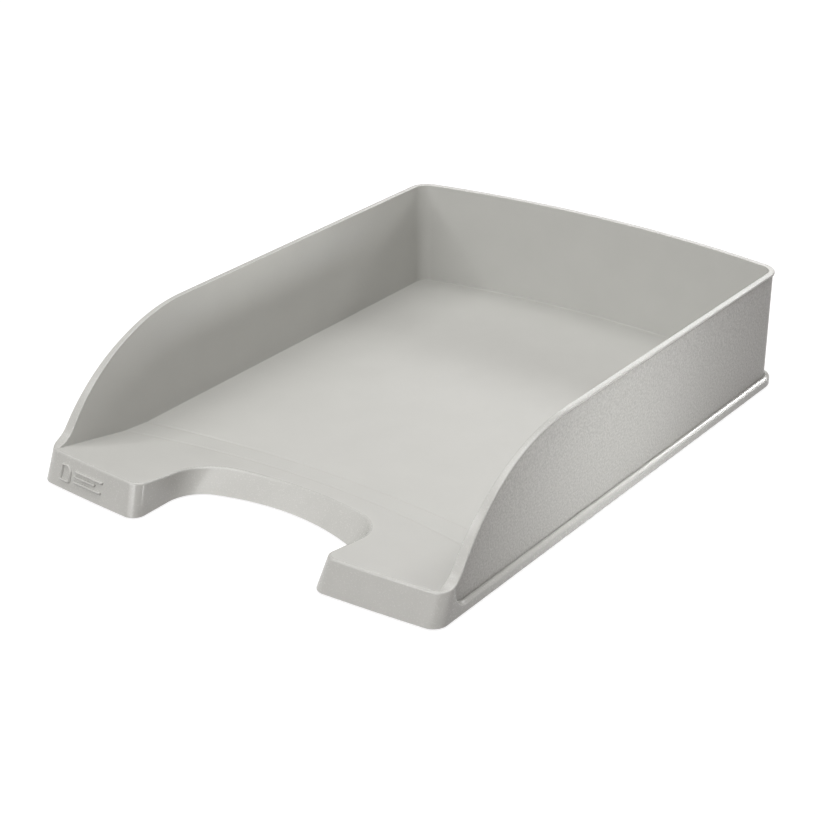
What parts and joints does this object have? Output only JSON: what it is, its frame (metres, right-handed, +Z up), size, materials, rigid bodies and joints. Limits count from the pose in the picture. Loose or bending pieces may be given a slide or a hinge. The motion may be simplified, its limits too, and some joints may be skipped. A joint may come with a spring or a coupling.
{
  "type": "letter tray",
  "caption": "Open-fronted A4 letter tray, moulded in one piece: curved side walls, foot ledge for stacking, raised front lip with a finger recess, small anti-slip pads below.",
  "frame": {"origin": "on the table, under the middle of the tray's bounding box", "axes": "+X to the right seen from the open front, +Y from the open front to the back wall, +Z up"},
  "size_m": [0.255, 0.357, 0.07],
  "materials": {
    "tray_plastic": "satin inside, fine grain on the outside panels",
    "pad_rubber": "matt"
  },
  "bodies": {
    "root": {"tray_shell": "tray_plastic", "front_left_anti_slip_pad": "pad_rubber", "front_right_anti_slip_pad": "pad_rubber", "rear_left_anti_slip_pad": "pad_rubber", "rear_right_anti_slip_pad": "pad_rubber"}
  },
  "joints": []
}
